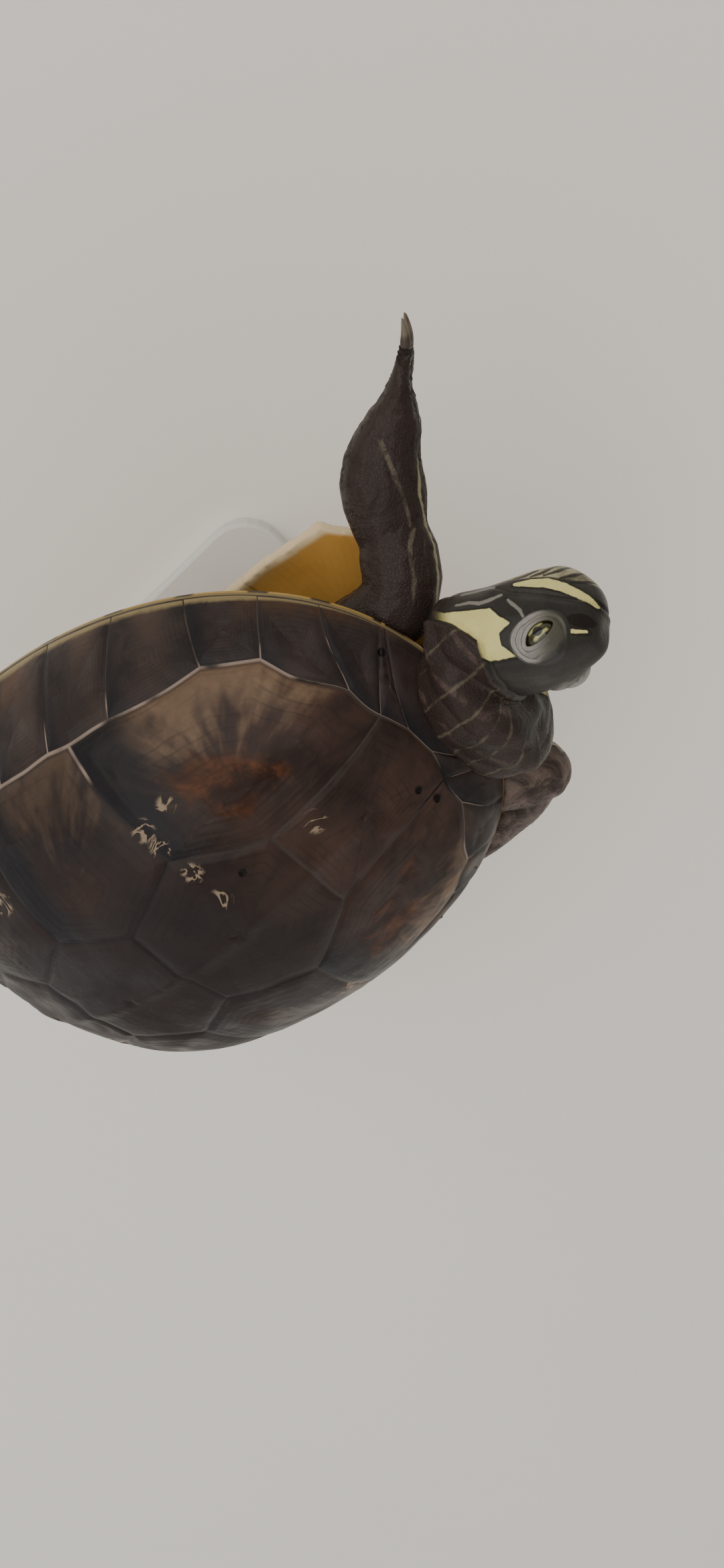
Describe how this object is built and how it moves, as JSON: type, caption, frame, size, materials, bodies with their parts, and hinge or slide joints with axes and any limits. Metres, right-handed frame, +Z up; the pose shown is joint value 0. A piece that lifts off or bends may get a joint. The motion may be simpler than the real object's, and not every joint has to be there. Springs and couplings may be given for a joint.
{
  "type": "yellow-bellied slider turtle",
  "caption": "Life-size still model of a swimming slider turtle with a domed dark shell, striped head and webbed feet, held by rods over a flat base.",
  "frame": {"origin": "centre of the stand's underside, on the floor", "axes": "+X towards the front of the animal, which is tipped 14 degrees nose-up, +Y to its left, +Z up"},
  "size_m": [0.2722, 0.184, 0.1565],
  "materials": {
    "shell_horn": "wet-looking dark horn with brown mottling",
    "plastron_horn": "satin orange-yellow horn",
    "skin": "damp scaly skin, near-black with pale yellow stripes",
    "eye": "clear gloss over a yellow-green iris",
    "claw_horn": "satin horn",
    "stand_base": "matt, pale and plain",
    "stand_steel": "brushed"
  },
  "bodies": {
    "root": {"carapace": "shell_horn", "plastron": "plastron_horn", "trunk": "skin", "neck": "skin", "head": "skin", "jaw": "skin", "eye_left": "eye", "eye_right": "eye", "foreleg_left_upper": "skin", "foreleg_left_lower": "skin", "foreleg_left_foot": "skin", "foreleg_left_claw_1": "claw_horn", "foreleg_left_claw_2": "claw_horn", "foreleg_left_claw_3": "claw_horn", "foreleg_left_claw_4": "claw_horn", "foreleg_left_claw_5": "claw_horn", "foreleg_right_upper": "skin", "foreleg_right_lower": "skin", "foreleg_right_foot": "skin", "foreleg_right_claw_1": "claw_horn", "foreleg_right_claw_2": "claw_horn", "foreleg_right_claw_3": "claw_horn", "foreleg_right_claw_4": "claw_horn", "foreleg_right_claw_5": "claw_horn", "hindleg_left_upper": "skin", "hindleg_left_lower": "skin", "hindleg_left_foot": "skin", "hindleg_left_claw_1": "claw_horn", "hindleg_left_claw_2": "claw_horn", "hindleg_left_claw_3": "claw_horn", "hindleg_left_claw_4": "claw_horn", "hindleg_right_upper": "skin", "hindleg_right_lower": "skin", "hindleg_right_foot": "skin", "hindleg_right_claw_1": "claw_horn", "hindleg_right_claw_2": "claw_horn", "hindleg_right_claw_3": "claw_horn", "hindleg_right_claw_4": "claw_horn", "tail": "skin", "stand_base": "stand_base", "stand_rod_front": "stand_steel", "stand_rod_rear": "stand_steel"}
  },
  "joints": []
}
